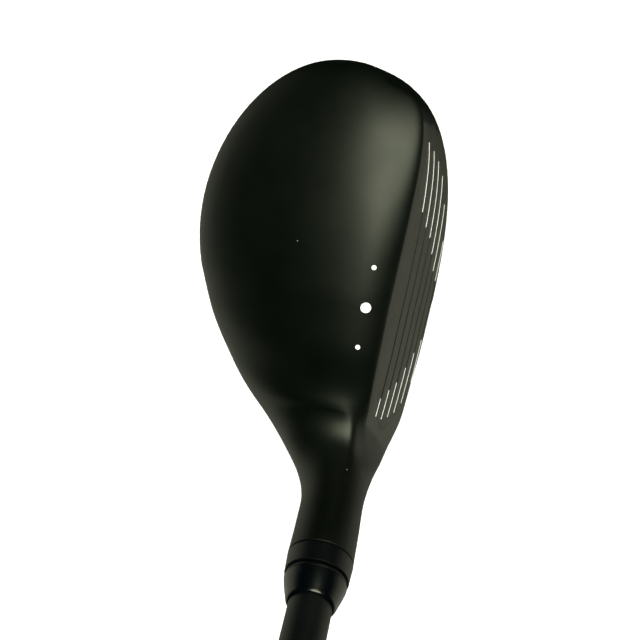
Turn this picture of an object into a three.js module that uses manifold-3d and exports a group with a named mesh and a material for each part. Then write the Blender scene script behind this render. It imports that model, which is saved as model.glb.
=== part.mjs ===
// Left-handed hybrid golf club with an adjustable hosel, in the address pose.
// Millimetres. +X runs from heel to toe, +Z is up, and the face looks towards -Y.
// The origin is on the ground, on the flat of the sole below the middle of the face.

import * as THREE from 'three';
import { mergeVertices } from 'three/addons/utils/BufferGeometryUtils.js';
import Module from 'manifold-3d';

const wasm = await Module();
wasm.setup();

// ---------- Driving dimensions ----------

const clearance = 0.3; // between pieces that touch
const roundSides = 32; // sides of a turned piece
const sliver = 0.01; // faces narrower than this are merged after a cut

// Whole club
const clubLength = 1010; // along the shaft, from the ground to the end of the grip cap
const shaftLie = 59; // degrees between shaft and ground
const sleeveCant = 0.8; // degrees between the sleeve's bore and the hosel

// Head outline, seen from above
const toeReach = 58; // origin to the toe
const toeTipY = 30; // the toe's foremost point, from the face
const toeFullness = 2.81; // exponent of the leading edge's sweep to the toe
const rearReach = 61; // origin line to the rearmost point
const rearX = 16; // where the head reaches furthest back
const rearFullness = 1.92; // exponent of the rear edge's sweep to the toe
const rearSweep = 0.01043; // parabola of the rear edge towards the heel
const leadingEdgeY = -4.3;

// Head heights
const midHeight = 17.5; // the toe's tip
const crownRise = 2.8; // crown's ridge over the topline
const toplineHeight = 34;
const toplineTurn = 0.018; // forward drift of the topline towards the toe
const toplineReach = 53.2; // where the topline has turned into the toe
const soleCrestY = 2.2; // where the sole is lowest
const leadingEdgeHeight = 5.5;
const skirtHeight = 15; // the rearmost point
const soleCrest = -0.6; // lowest point of the sole's curve, flattened at the ground

// Face
const faceLoft = 20.7; // degrees
const bulgeRadius = 446;
const rollRadius = 223;
const faceThickness = 2.4;
const faceLip = 2.6; // rim of the body around the face insert
const faceInsertHeelX = -33;
const faceInsertToeX = 46.5;
const grooveCount = 6;
const groovePitch = 4.15;
const grooveWidth = 0.9;
const grooveDepth = 0.5;
const topGrooveHeight = 27.2;

// Crown plate, seen from above
const crownHeelX = -19;
const crownToeX = 46.5;
const crownInset = 6.5; // in from the rear edge
const crownFrontY = 11.5;
const crownFloorZ = 20;
const crownRidgeY = 16;

// Walls
const crownWall = 0.9;
const skirtWall = 1.3;
const soleWall = 2;

// Hosel, outwards from the shaft's tip
const shaftTipRadius = 4.75;
const sleeveWall = 0.75;
const hoselWall = 1.35;
const shaftBoreRadius = shaftTipRadius + clearance;
const sleeveRadius = shaftBoreRadius + sleeveWall;
const hoselBoreRadius = sleeveRadius + clearance;
const hoselRadius = hoselBoreRadius + hoselWall;
const hoselY = 10.7;
const hoselRimX = -55.7;
const hoselRimZ = 56.1;
const hoselWebDepth = 49; // rim to the floor of the bore
const hoselWebThickness = 3;

// Index ring, sleeve and ferrule
const ringHeight = 5.1;
const ringTopRadius = hoselRadius - 0.3;
const ringTabCount = 4;
const ringTabWidth = 2;
const ringTabHeight = 1.2;
const ringTabReach = 0.65; // radial thickness of a tab
const sleeveDepth = 33; // rim to the sleeve's lower end
const sleeveFloor = 12; // solid end that takes the screw
const sleeveFlangeThickness = 0.7;
const sleeveFlangeRadius = ringTopRadius - 0.4;
const ferruleHeight = 5.7;
const ferruleBaseRadius = ringTopRadius - 0.2;
const ferruleEndRadius = shaftTipRadius + 0.6;

// Hosel screw
const screwRadius = 2.2;
const screwHeadRadius = 4;
const screwHeadHeight = 4;
const portRadius = screwHeadRadius + 1;
const screwEngagement = 8; // thread inside the sleeve
const washerThickness = 0.8;
const retainerRadius = 4.4;
const retainerThickness = 1.2;
const socketRadius = 2.1; // six-lobed socket, over the lobes
const socketDepth = 2.4;

// Rear weight
const weightX = 8;
const weightShare = 0.5; // place along the sole's rear curve, from the skirt
const weightRadius = 7;
const weightFlange = 2.2;
const weightShankRadius = weightRadius - 1.5;
const weightShankLength = 5.5;
const weightRecess = 0.3;
const weightWasherThickness = 0.6;
const bossWall = 2.4;

// Shaft and grip
const shaftButtRadius = 7.6;
const shaftWall = 1.4;
const shaftParallelTip = 80; // parallel length above the hosel rim
const plugLength = 8;
const gripLength = 267;
const gripMouthRadius = 9.9;
const gripButtRadius = 13.4;
const tapeThickness = 0.45;
const capThickness = 5;
const capRadius = 14.4;
const capFlatRadius = 9;
const ventRadius = 1.1;

// ---------- Small helpers ----------

const radians = THREE.MathUtils.degToRad;
const hoselLie = shaftLie - sleeveCant;
const toeShare = (x, power) => (1 - Math.min(Math.max(x, 0) / toeReach, 1) ** power) ** (1 / power);

function solid(geometry, matrix) {
  const bare = geometry.clone();
  if (matrix) bare.applyMatrix4(matrix);
  bare.deleteAttribute('normal');
  bare.deleteAttribute('uv');
  const merged = mergeVertices(bare.index ? bare.toNonIndexed() : bare, 1e-5);
  return new wasm.Manifold(new wasm.Mesh({
    numProp: 3,
    vertProperties: new Float32Array(merged.attributes.position.array),
    triVerts: new Uint32Array(merged.index.array),
  }));
}

// The cut piece as a geometry, without the hair-thin faces that cuts leave.
function geometryOf(manifold) {
  const { vertProperties, triVerts } = manifold.simplify(sliver).getMesh();
  const geometry = new THREE.BufferGeometry();
  geometry.setAttribute('position', new THREE.BufferAttribute(new Float32Array(vertProperties), 3));
  geometry.setIndex(new THREE.BufferAttribute(new Uint32Array(triVerts), 1));
  geometry.computeVertexNormals();
  return geometry;
}

// A turned solid about Z from [radius, height] pairs that close on themselves or on the axis.
function turned(profile, sides = roundSides) {
  const points = profile.map(([radius, height]) => new THREE.Vector2(radius, height));
  return new THREE.LatheGeometry(points, sides).rotateX(Math.PI / 2);
}

function rod(radius, bottom, top, sides = roundSides) {
  return turned([[0, bottom], [radius, bottom], [radius, top], [0, top]], sides);
}

function tube(inner, outer, bottom, top) {
  return turned([[inner, bottom], [outer, bottom], [outer, top], [inner, top], [inner, bottom]]);
}

// A six-lobed driver socket, cut from `floor` to `mouth` along Z.
function socketCutter(radius, floor, mouth) {
  const shape = new THREE.Shape();
  const steps = 36;
  for (let i = 0; i < steps; i++) {
    const angle = (i / steps) * 2 * Math.PI;
    const r = radius * (0.86 + 0.14 * Math.cos(6 * angle));
    shape[i ? 'lineTo' : 'moveTo'](r * Math.cos(angle), r * Math.sin(angle));
  }
  shape.closePath();
  const depth = mouth - floor;
  return new THREE.ExtrudeGeometry(shape, { depth, bevelEnabled: false }).translate(0, 0, floor);
}

// ---------- Head surface ----------

// The face: loft, bulge from heel to toe, and roll from top to bottom.
function faceY(x, z) {
  const slope = Math.tan(radians(faceLoft));
  const rise = z - midHeight;
  const roll = rise ** 2 / (2 * rollRadius) * (1 + slope ** 2) ** 1.5;
  return slope * rise + roll + x ** 2 / (2 * bulgeRadius);
}

const toplineZ = (x) => (x > 0
  ? midHeight + (toplineHeight - midHeight) * toeShare(x, 2.6)
  : toplineHeight - 0.0027 * x ** 2);

const leadZ = (x) => (x > 0
  ? leadingEdgeHeight + 11.5 * (x / toeReach) ** 2
  : leadingEdgeHeight + 0.0032 * x ** 2);

function rearY(x) {
  if (x <= rearX) return rearReach - rearSweep * (rearX - x) ** 2;
  const share = (x - rearX) / (toeReach - rearX);
  return toeTipY + (rearReach - toeTipY) * (1 - share ** rearFullness) ** (1 / rearFullness);
}

// The topline seen from above: nearly straight, then turning into the toe.
function toplineY(x, leadY, peakY) {
  const turn = (1 - Math.min(x / toplineReach, 1) ** 6) ** (1 / 6);
  const straight = faceY(0, toplineHeight) - toplineTurn * x;
  return Math.min(toeTipY - (toeTipY - straight) * turn, peakY - 0.3 * (peakY - leadY));
}

// A station is one cross-section of the head. Its plane holds the Y axis, stands at (x, z) and
// leans by `turn` degrees. Each named point is [y, height over the station's middle].
// crownTan is the surface's slope where it leaves the topline, and bend the face's curvature.
// full holds the curve handles: crown, rear top, rear bottom, sole, crown's front twice.
function toeStation(x) {
  const sweep = toeShare(x, toeFullness);
  const lead = leadZ(x);
  const leadY = toeTipY - (toeTipY - leadingEdgeY) * sweep;
  const top = toplineZ(x);
  const peakY = toeTipY - (toeTipY - crownRidgeY) * sweep;
  const sole = midHeight - (midHeight - soleCrest) * toeShare(x, 2.6);
  return {
    x,
    z: midHeight,
    turn: 0,
    lead: [leadY, Math.min(lead, top) - midHeight],
    top: [toplineY(x, leadY, peakY), top - midHeight],
    peak: [peakY, top + crownRise * (1 - (x / toeReach) ** 2) - midHeight],
    rear: [rearY(x), (skirtHeight - midHeight) * toeShare(x, 2)],
    sole: [toeTipY - (toeTipY - soleCrestY) * sweep, sole - midHeight],
    crownTan: 35,
    bend: 1 / rollRadius,
    full: [0.42, 0.35, 0.4, 0.62, 0.55, 0.5],
  };
}

// A point on the face in a leaning section, `height` over the section's middle.
function onFace(x, z, turn, height) {
  const lean = radians(turn);
  return [faceY(x + Math.sin(lean) * height, z + Math.cos(lean) * height), height];
}

function heelStation(x, peakY, soleY, soleZ, turn = 0) {
  return {
    x,
    z: midHeight,
    turn,
    lead: onFace(x, midHeight, turn, leadZ(x) - midHeight),
    top: onFace(x, midHeight, turn, toplineZ(x) - midHeight),
    peak: [peakY, toplineZ(x) + crownRise - 0.0022 * x ** 2 - midHeight],
    rear: [rearY(x), skirtHeight - midHeight + 0.003 * x ** 2],
    sole: [soleY, soleZ - midHeight],
    crownTan: 35,
    bend: 1 / rollRadius,
    full: [0.42, 0.35, 0.4, 0.62, 0.55, 0.5],
  };
}

const hoselAxis = new THREE.Vector3(-Math.cos(radians(hoselLie)), 0, Math.sin(radians(hoselLie)));
const hoselRim = new THREE.Vector3(hoselRimX, hoselY, hoselRimZ);

// A station on the hosel, `depth` below the rim. front, back, up and down are its reach on each
// side of the axis, over the hosel's radius. corner is the topline's end as a share of them.
function neckStation(depth, turn, [front, back, up, down], look = {}) {
  const place = hoselRim.clone().addScaledVector(hoselAxis, -depth);
  const { flat = 0.7, corner = [0.66, 0.75], crownTan = 41, handles = [0.96, 0.365], bend = 1 } = look;
  return {
    x: place.x,
    z: place.z,
    turn,
    lead: [hoselY - hoselRadius - front, -flat],
    top: [hoselY - corner[0] * (hoselRadius + front), corner[1] * (hoselRadius + up)],
    peak: [hoselY, hoselRadius + up],
    rear: [hoselY + hoselRadius + back, 0],
    sole: [hoselY, -hoselRadius - down],
    crownTan,
    bend: bend / hoselRadius,
    full: [0.55, 0.55, 0.55, 0.55, ...handles],
  };
}

const heelStations = [
  heelStation(0, crownRidgeY, soleCrestY, soleCrest),
  heelStation(-12, crownRidgeY - 0.5, soleCrestY + 0.6, soleCrest + 0.25),
  heelStation(-22, crownRidgeY - 1, soleCrestY + 1.4, soleCrest + 1, 6),
  {
    x: -29.5, z: 18.5, turn: 20, lead: onFace(-29.5, 18.5, 20, -11.5),
    top: onFace(-29.5, 18.5, 20, 13.4), peak: [14, 16.8], rear: [rearY(-29.5), 0],
    sole: [7, -16.8], crownTan: 38, bend: 1 / rollRadius, full: [0.45, 0.4, 0.45, 0.6, 0.55, 0.5],
  },
  {
    x: -35.5, z: 22, turn: 38, lead: onFace(-35.5, 22, 38, -10.8),
    top: onFace(-35.5, 22, 38, 10), peak: [12.3, 15.3], rear: [32.3, 0],
    sole: [9.5, -13.6], crownTan: 50, bend: 1 / rollRadius, full: [0.5, 0.5, 0.5, 0.58, 0.7, 0.45],
  },
  neckStation(
    31, 52, [1.45, 7.4, 2.7, 1.85],
    { flat: 3, corner: [0.506, 0.47], crownTan: 58, handles: [0.6, 0.5], bend: 0.21 },
  ),
  neckStation(
    24, hoselLie, [0.25, 2.85, 0.3, 0.25],
    { flat: 1.6, corner: [0.64, 0.66], crownTan: 48, handles: [0.8, 0.43], bend: 0.62 },
  ),
  neckStation(17, hoselLie, [-0.3, 0.4, -0.1, -0.05]),
  neckStation(9, hoselLie, [-0.1, 0, -0.15, -0.15]),
  neckStation(0, hoselLie, [0, 0, 0, 0]),
];

const toeAngles = [86, 76, 66, 56, 46, 36, 26, 17, 8];
const toeStations = toeAngles.map((angle) => toeStation(toeReach * Math.sin(radians(angle))));

// Catmull-Rom between stations, number by number.
function blend(before, from, to, after, t) {
  const mix = (a, b, c, d) => 0.5 * (2 * b + (c - a) * t + (2 * a - 5 * b + 4 * c - d) * t ** 2
    + (3 * b - a - 3 * c + d) * t ** 3);
  const result = {};
  for (const key of Object.keys(from)) {
    result[key] = Array.isArray(from[key])
      ? from[key].map((value, i) => mix(before[key][i], value, to[key][i], after[key][i]))
      : mix(before[key], from[key], to[key], after[key]);
  }
  return result;
}

function refine(stations, steps) {
  const result = [];
  stations.slice(0, -1).forEach((from, i) => {
    const before = stations[Math.max(i - 1, 0)];
    const after = stations[Math.min(i + 2, stations.length - 1)];
    for (let k = 0; k < steps; k++) result.push(blend(before, from, stations[i + 1], after, k / steps));
  });
  result.push(stations.at(-1));
  return result;
}

// The five curves of one section, in order: face, crown's front, crown, skirt, sole's front.
function sectionCurves({ lead, top, peak, rear, sole, crownTan, bend, full }) {
  const point = ([y, height]) => new THREE.Vector2(y, height);
  const [A, B, C, D, E] = [lead, top, peak, rear, sole].map(point);
  const chord = B.clone().sub(A);
  const sagitta = chord.length() ** 2 * bend / 8;
  const bow = new THREE.Vector2(-chord.y, chord.x).setLength(2 * sagitta);
  const middle = A.clone().add(B).multiplyScalar(0.5).add(bow);
  const crownStart = new THREE.Vector2(Math.cos(radians(crownTan)), Math.sin(radians(crownTan)));
  const [crown, rearTop, rearBottom, soleRear, frontRise, frontReach] = full;
  return [
    new THREE.QuadraticBezierCurve(A, middle, B),
    new THREE.CubicBezierCurve(
      B,
      B.clone().addScaledVector(crownStart, frontRise * (C.y - B.y)),
      new THREE.Vector2(C.x - frontReach * (C.x - B.x), C.y),
      C,
    ),
    new THREE.CubicBezierCurve(
      C,
      new THREE.Vector2(C.x + crown * (D.x - C.x), C.y),
      new THREE.Vector2(D.x, D.y + rearTop * (C.y - D.y)),
      D,
    ),
    new THREE.CubicBezierCurve(
      D,
      new THREE.Vector2(D.x, D.y - rearBottom * (D.y - E.y)),
      new THREE.Vector2(E.x + soleRear * (D.x - E.x), E.y),
      E,
    ),
    new THREE.CubicBezierCurve(
      E,
      new THREE.Vector2(E.x - 0.55 * (E.x - A.x), E.y),
      new THREE.Vector2(A.x, A.y - 0.55 * (A.y - E.y)),
      A,
    ),
  ];
}

// The section as a ring of points, each moved in by its own wall.
function sectionRing(station, counts, walls) {
  const flat = sectionCurves(station).flatMap((curve, part) => {
    const steps = counts[part];
    return Array.from({ length: steps }, (_, k) => {
      const share = k / steps;
      const wall = THREE.MathUtils.lerp(walls[part], walls[(part + 1) % walls.length], share);
      return { at: curve.getPoint(share), wall };
    });
  });
  const n = new THREE.Vector3(Math.sin(radians(station.turn)), 0, Math.cos(radians(station.turn)));
  return flat.map(({ at, wall }, i) => {
    const ahead = flat[(i + 1) % flat.length].at;
    const behind = flat.at(i - 1).at;
    const inward = new THREE.Vector2(ahead.y - behind.y, behind.x - ahead.x).setLength(wall || 1e-9);
    const moved = at.clone().add(inward);
    return new THREE.Vector3(station.x, 0, station.z).addScaledVector(n, moved.y).setY(moved.x);
  });
}

// A closed skin over rings of equal length, with a fan on each end.
function loft(rings) {
  const size = rings[0].length;
  const positions = rings.flat().flatMap((p) => p.toArray());
  const index = [];
  for (let r = 0; r < rings.length - 1; r++) {
    for (let k = 0; k < size; k++) {
      const a = r * size + k;
      const b = r * size + (k + 1) % size;
      index.push(a, b, a + size, b, b + size, a + size);
    }
  }
  [rings[0], rings.at(-1)].forEach((ring, end) => {
    const centre = ring.reduce((sum, p) => sum.add(p), new THREE.Vector3()).divideScalar(size);
    const hub = positions.length / 3;
    positions.push(...centre.toArray());
    const start = end ? (rings.length - 1) * size : 0;
    for (let k = 0; k < size; k++) {
      const a = start + k;
      const b = start + (k + 1) % size;
      index.push(...(end ? [a, b, hub] : [b, a, hub]));
    }
  });
  const geometry = new THREE.BufferGeometry();
  geometry.setAttribute('position', new THREE.Float32BufferAttribute(positions, 3));
  geometry.setIndex(index);
  return geometry;
}

const outerCounts = [5, 3, 8, 6, 4];
const innerCounts = [4, 2, 6, 4, 3];
const noWalls = [0, 0, 0, 0, 0];
// Walls at the leading edge, topline, crown's ridge, skirt and sole.
const cavityWalls = [faceThickness, faceThickness, crownWall, skirtWall, soleWall];

const outerStations = [...toeStations, ...refine(heelStations, 2)];
const headBlank = solid(loft(outerStations.map((s) => sectionRing(s, outerCounts, noWalls))));

const cavityHeelX = -24;
const cavityShrink = (toeReach - skirtWall) / toeReach;
const cavityStations = outerStations
  .filter(({ x, turn }) => x > cavityHeelX && turn < 10 && x < toeReach * Math.sin(radians(80)))
  .map((s) => ({ ...s, x: s.x > 0 ? s.x * cavityShrink : s.x }));
const cavityLoft = solid(loft(cavityStations.map((s) => sectionRing(s, innerCounts, cavityWalls))));

// ---------- Places on the head ----------

// The hosel's frame: +Z up the hosel's axis, from the rim.
const hoselGroup = new THREE.Group();
hoselGroup.position.copy(hoselRim);
hoselGroup.rotation.y = -radians(90 - hoselLie);
hoselGroup.updateMatrixWorld();
const hoselPlace = hoselGroup.matrixWorld;

// The weight's frame: +Z out of the sole, square to it.
const weightStation = toeStation(weightX);
const soleCurve = sectionCurves(weightStation)[3];
const weightSpot = soleCurve.getPoint(weightShare);
const weightSlope = soleCurve.getTangent(weightShare);
const weightGroup = new THREE.Group();
weightGroup.position.set(weightX, weightSpot.x, midHeight + weightSpot.y);
weightGroup.rotation.x = Math.atan2(weightSlope.y, weightSlope.x);
weightGroup.updateMatrixWorld();
const weightPlace = weightGroup.matrixWorld;

// ---------- Head pieces ----------

const webTop = -hoselWebDepth;
const webBottom = webTop - hoselWebThickness;
const portMouth = webBottom - 30; // well below the sole
const pocketDepth = weightRecess + weightFlange + weightWasherThickness + 2 * clearance;
const weightHoleDepth = pocketDepth + weightShankLength + clearance;

const hoselCore = solid(rod(hoselRadius, portMouth, 0), hoselPlace);
const weightBoss = solid(
  rod(weightRadius + bossWall, -weightHoleDepth - bossWall, bossWall),
  weightPlace,
);
const cavity = cavityLoft.subtract(hoselCore).subtract(weightBoss);
const underGround = solid(new THREE.BoxGeometry(400, 400, 40).translate(0, 0, -20));
const shell = headBlank.subtract(cavity).subtract(underGround);

// Outline of the face insert, seen from the front, set in from the face's edge by `lip`.
function faceOutline(lip) {
  const left = faceInsertHeelX + lip - faceLip;
  const right = faceInsertToeX - lip + faceLip;
  const across = (share) => THREE.MathUtils.lerp(left, right, share);
  const shares = [0.06, 0.2, 0.4, 0.6, 0.8, 0.93];
  const upper = shares.map((s) => new THREE.Vector2(across(s), toplineZ(across(s)) - lip));
  const lower = shares.map((s) => new THREE.Vector2(across(s), leadZ(across(s)) + 0.3 * lip));
  const middle = (x) => new THREE.Vector2(x, (toplineZ(x) + leadZ(x)) / 2);
  return new THREE.Shape([
    middle(left), ...lower, middle(right), ...upper.reverse(),
  ]);
}

// A column through the head's front, no deeper than `depth` behind the face.
function faceColumn(lip, depth) {
  const reach = 60;
  const column = new THREE.ExtrudeGeometry(faceOutline(lip), { depth: reach, bevelEnabled: false });
  column.rotateX(Math.PI / 2);
  column.translate(0, toeTipY, 0);
  return solid(column).subtract(headBlank.translate([0, depth, 0]));
}

// One groove: a bar that follows the face's bulge at one height.
function grooveBar(height, heelX, toeX) {
  const steps = 8;
  const rings = Array.from({ length: steps + 1 }, (_, i) => {
    const x = THREE.MathUtils.lerp(heelX, toeX, i / steps);
    const y = faceSkinY(x, height);
    const half = grooveWidth / 2;
    const corners = [[-2, -half], [grooveDepth, -half * 0.6], [grooveDepth, half * 0.6], [-2, half]];
    return corners.map(([dy, dz]) => new THREE.Vector3(x, y + dy, height + dz));
  });
  return solid(loft(rings));
}

// The face's real surface, with the toe's rounding added to the loft, bulge and roll.
function faceSkinY(x, z) {
  if (x <= 0) return faceY(x, z);
  const points = sectionCurves(toeStation(x))[0].getPoints(30);
  const height = z - midHeight;
  const above = Math.max(points.findIndex((p) => p.y > height), 1);
  const [low, high] = [points[above - 1], points[above]];
  return THREE.MathUtils.mapLinear(height, low.y, high.y, low.x, high.x);
}

// Heel and toe ends of each groove, from the top one down.
const grooveHeels = [-27.9, -29.2, -29.2, -28.6, -26.5, -21];
const grooveToes = [40.9, 39.5, 37.6, 34.6, 27.8, 18.4];

function grooveHeight(index) {
  const slope = Math.tan(radians(faceLoft));
  const pitch = groovePitch * Math.cos(Math.atan(slope));
  return topGrooveHeight - index * pitch;
}

const faceDepth = faceThickness / Math.cos(radians(faceLoft));
let faceSolid = shell.intersect(faceColumn(faceLip + clearance, faceDepth - 0.1));
for (let i = 0; i < grooveCount; i++) {
  faceSolid = faceSolid.subtract(grooveBar(grooveHeight(i), grooveHeels[i], grooveToes[i]));
}

// Outline of the crown plate, seen from above, set in from its edge by `gap`.
function crownColumn(gap) {
  const left = crownHeelX + gap;
  const right = crownToeX - gap;
  const across = (share) => THREE.MathUtils.lerp(left, right, share);
  const rear = [0.03, 0.2, 0.4, 0.6, 0.8, 0.93, 1].map((s) => (
    new THREE.Vector2(across(s), rearY(across(s)) - crownInset - gap)
  ));
  const front = [0.97, 0.85, 0.5, 0].map((s) => {
    const sweep = (toeTipY - crownFrontY) * (1 - toeShare(across(s), toeFullness));
    return new THREE.Vector2(across(s), crownFrontY + sweep + gap);
  });
  const shape = new THREE.Shape([...front, ...rear]);
  const column = new THREE.ExtrudeGeometry(shape, { depth: 60, bevelEnabled: false });
  return solid(column.translate(0, 0, crownFloorZ));
}

const crownSolid = shell.intersect(crownColumn(clearance / 2));

function headBody() {
  const bore = rod(hoselBoreRadius, webTop, 1);
  const screwHole = rod(screwRadius + clearance, webBottom - 1, webTop + 1);
  const port = rod(portRadius, portMouth, webBottom);
  let body = shell.subtract(faceColumn(faceLip, faceDepth + clearance)).subtract(crownColumn(0));
  for (const cutter of [bore, screwHole, port]) body = body.subtract(solid(cutter, hoselPlace));
  for (let i = 0; i < ringTabCount; i++) {
    body = body.subtract(solid(ringTab(i, ringTabHeight + clearance, clearance), hoselPlace));
  }
  const pocket = rod(weightRadius + clearance, -pocketDepth, 5);
  const hole = rod(weightShankRadius + clearance, -weightHoleDepth, 0);
  for (const cutter of [pocket, hole]) body = body.subtract(solid(cutter, weightPlace));
  return largest(body);
}

// The biggest piece, without the slivers that a cut leaves.
function largest(manifold) {
  return manifold.decompose().sort((a, b) => b.volume() - a.volume())[0];
}

// A key under the index ring, `grow` wider all round for its notch in the hosel's rim.
function ringTab(index, depth, grow) {
  const inner = hoselBoreRadius + 0.1 - grow;
  const outer = hoselBoreRadius + 0.1 + ringTabReach + grow / 2;
  const tab = new THREE.BoxGeometry(outer - inner, ringTabWidth + 2 * grow, depth + 1);
  tab.translate((outer + inner) / 2, 0, -depth / 2 + 0.5);
  return tab.rotateZ((index / ringTabCount) * 2 * Math.PI);
}

// ---------- Hosel pieces, about the hosel's axis ----------

const ringBottom = clearance;
const ringTop = ringHeight - clearance;
const sleeveBottom = -sleeveDepth;
const flangeBottom = ringTop + clearance;
const flangeTop = flangeBottom + sleeveFlangeThickness;
const shaftBottom = sleeveBottom + sleeveFloor + clearance;

const cant = new THREE.Matrix4().makeRotationY(radians(sleeveCant));

function indexRing() {
  const ring = turned([
    [sleeveRadius + clearance, ringBottom],
    [hoselRadius, ringBottom],
    [ringTopRadius, ringTop],
    [sleeveRadius + clearance, ringTop],
    [sleeveRadius + clearance, ringBottom],
  ]);
  let result = solid(ring);
  for (let i = 0; i < ringTabCount; i++) {
    const tab = ringTab(i, ringTabHeight, 0);
    result = result.add(solid(tab));
  }
  return result.subtract(solid(rod(sleeveRadius + clearance, -10, 10)));
}

function hoselSleeve() {
  const outside = turned([
    [0, sleeveBottom],
    [sleeveRadius, sleeveBottom],
    [sleeveRadius, flangeBottom],
    [sleeveFlangeRadius, flangeBottom],
    [sleeveFlangeRadius, flangeTop],
    [0, flangeTop],
  ]);
  const bore = rod(shaftBoreRadius, shaftBottom - clearance, 20);
  const thread = rod(screwRadius + clearance, sleeveBottom - 1, sleeveBottom + screwEngagement + 2);
  return solid(outside).subtract(solid(bore, cant)).subtract(solid(thread));
}

function hoselScrew() {
  const headTop = webBottom - 2 * clearance - washerThickness;
  const headBottom = headTop - screwHeadHeight;
  const screw = turned([
    [0, headBottom],
    [screwHeadRadius, headBottom],
    [screwHeadRadius, headTop],
    [screwRadius, headTop],
    [screwRadius, sleeveBottom + screwEngagement],
    [0, sleeveBottom + screwEngagement],
  ]);
  return solid(screw).subtract(solid(socketCutter(socketRadius, headBottom - 1, headBottom + socketDepth)));
}

function ferruleGeometry() {
  const bottom = flangeTop + clearance;
  const top = bottom + ferruleHeight;
  const round = 0.7;
  return turned([
    [shaftBoreRadius, bottom],
    [ferruleBaseRadius, bottom],
    [THREE.MathUtils.lerp(ferruleBaseRadius, ferruleEndRadius, 0.35), bottom + 0.4 * ferruleHeight],
    [ferruleEndRadius, top - round],
    [ferruleEndRadius - 0.35 * (ferruleEndRadius - shaftBoreRadius), top - 0.25 * round],
    [shaftBoreRadius, top],
    [shaftBoreRadius, bottom],
  ]);
}

// ---------- Shaft and grip, about the shaft's axis ----------

const rimAlongShaft = hoselRimZ / Math.sin(radians(shaftLie));
const capTop = clubLength - rimAlongShaft;
const capBottom = capTop - capThickness;
const shaftTop = capBottom - clearance;
const gripTop = capBottom - clearance;
const gripBottom = gripTop - gripLength;

function shaftRadiusAt(height) {
  const share = (height - shaftParallelTip) / (shaftTop - shaftParallelTip);
  return THREE.MathUtils.lerp(shaftTipRadius, shaftButtRadius, THREE.MathUtils.clamp(share, 0, 1));
}

function shaftGeometry() {
  return turned([
    [shaftTipRadius - shaftWall, shaftBottom],
    [shaftTipRadius, shaftBottom],
    [shaftTipRadius, shaftParallelTip],
    [shaftButtRadius, shaftTop],
    [shaftButtRadius - shaftWall, shaftTop],
    [shaftTipRadius - shaftWall, shaftParallelTip],
    [shaftTipRadius - shaftWall, shaftBottom],
  ]);
}

// A sleeve over the shaft between two heights, a fixed distance off its surface.
function overShaft(bottom, top, gap, thickness) {
  return turned([
    [shaftRadiusAt(bottom) + gap, bottom],
    [shaftRadiusAt(bottom) + gap + thickness, bottom],
    [shaftRadiusAt(top) + gap + thickness, top],
    [shaftRadiusAt(top) + gap, top],
    [shaftRadiusAt(bottom) + gap, bottom],
  ]);
}

const gripGap = 2 * clearance + tapeThickness;

function gripGeometry() {
  const lipHeight = 1.5;
  return turned([
    [shaftRadiusAt(gripBottom) + gripGap, gripBottom],
    [gripMouthRadius - 0.6, gripBottom],
    [gripMouthRadius, gripBottom + lipHeight],
    [THREE.MathUtils.lerp(gripMouthRadius, gripButtRadius, 0.42), gripBottom + 0.5 * gripLength],
    [gripButtRadius, gripTop],
    [shaftRadiusAt(gripTop) + gripGap, gripTop],
    [shaftRadiusAt(gripBottom) + gripGap, gripBottom],
  ]);
}

function capGeometry() {
  const edge = 2;
  return turned([
    [ventRadius, capBottom],
    [gripButtRadius, capBottom],
    [capRadius, capBottom + edge],
    [capRadius - 1, capTop - 0.8],
    [capFlatRadius, capTop],
    [ventRadius, capTop],
    [ventRadius, capBottom],
  ]);
}

// ---------- Rear weight, out of the sole ----------

function rearWeight() {
  const outerFace = -weightRecess;
  const flangeFloor = outerFace - weightFlange;
  const chamfer = 0.6;
  const weight = turned([
    [0, flangeFloor - weightShankLength],
    [weightShankRadius - chamfer, flangeFloor - weightShankLength],
    [weightShankRadius, flangeFloor - weightShankLength + chamfer],
    [weightShankRadius, flangeFloor],
    [weightRadius, flangeFloor],
    [weightRadius, outerFace - chamfer / 2],
    [weightRadius - chamfer / 2, outerFace],
    [0, outerFace],
  ]);
  return solid(weight).subtract(solid(socketCutter(socketRadius, outerFace - socketDepth, 1)));
}

const weightWasherTop = -weightRecess - weightFlange - clearance;
const washerTop = webBottom - clearance;
const retainerBottom = webTop + clearance;

// ---------- Assembly ----------

const steelPaint = [0x141614, 0.5, 0.3];
const faceSteel = [0x4a4a46, 0.5, 0.7];
const brightSteel = [0x9a9a9a, 0.35, 0.9];
const blackAluminium = [0x101214, 0.4, 0.6];
const blackPlastic = [0x0c0d0e, 0.25, 0];
const shaftPaint = [0x121314, 0.45, 0];
const gripRubber = [0x161616, 0.85, 0];
const tapePaper = [0xd8d2c4, 0.9, 0];

function piece(name, shape, [color, roughness, metalness]) {
  const geometry = shape.isBufferGeometry ? shape : geometryOf(shape);
  const material = new THREE.MeshStandardMaterial({ color, roughness, metalness });
  const mesh = new THREE.Mesh(geometry, material);
  mesh.name = name;
  return mesh;
}

const club = new THREE.Group();
club.add(
  piece('head_body', headBody(), steelPaint),
  piece('crown', largest(crownSolid), steelPaint),
  piece('face_insert', largest(faceSolid), faceSteel),
);

weightGroup.add(
  piece('rear_weight', rearWeight(), brightSteel),
  piece(
    'weight_washer',
    tube(
      weightShankRadius + clearance,
      weightRadius,
      weightWasherTop - weightWasherThickness,
      weightWasherTop,
    ),
    blackPlastic,
  ),
);

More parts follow.
